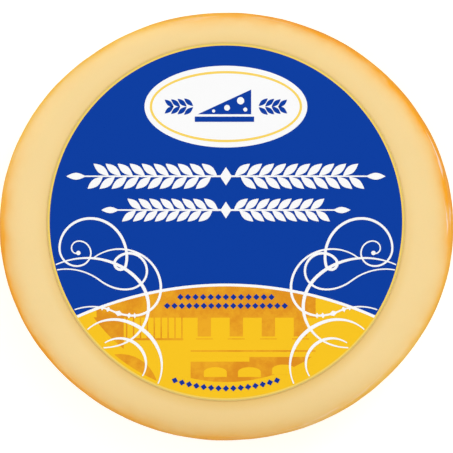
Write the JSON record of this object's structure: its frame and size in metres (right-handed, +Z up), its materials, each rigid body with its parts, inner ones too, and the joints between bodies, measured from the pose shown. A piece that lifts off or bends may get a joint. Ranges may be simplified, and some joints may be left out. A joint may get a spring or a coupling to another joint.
{
  "type": "provolone cheese",
  "caption": "Whole smoked provolone: an oval wheel of cheese with soft rounded shoulders and a large round printed label on its top.",
  "frame": {"origin": "middle of the wheel's box, on the flat base that it rests on", "axes": "+Z up out of the labelled face; +X along the oval wheel's long side; -Y towards the foot of the label's print"},
  "size_m": [0.1568, 0.1476, 0.0567],
  "materials": {
    "smoked_skin": "cream cheese skin, smoked orange at the shoulders and sides, with a soft satin gloss",
    "label_paper": "coated label paper printed blue above and yellow below, satin gloss"
  },
  "bodies": {
    "root": {"cheese_wheel": "smoked_skin", "label": "label_paper"}
  },
  "joints": []
}
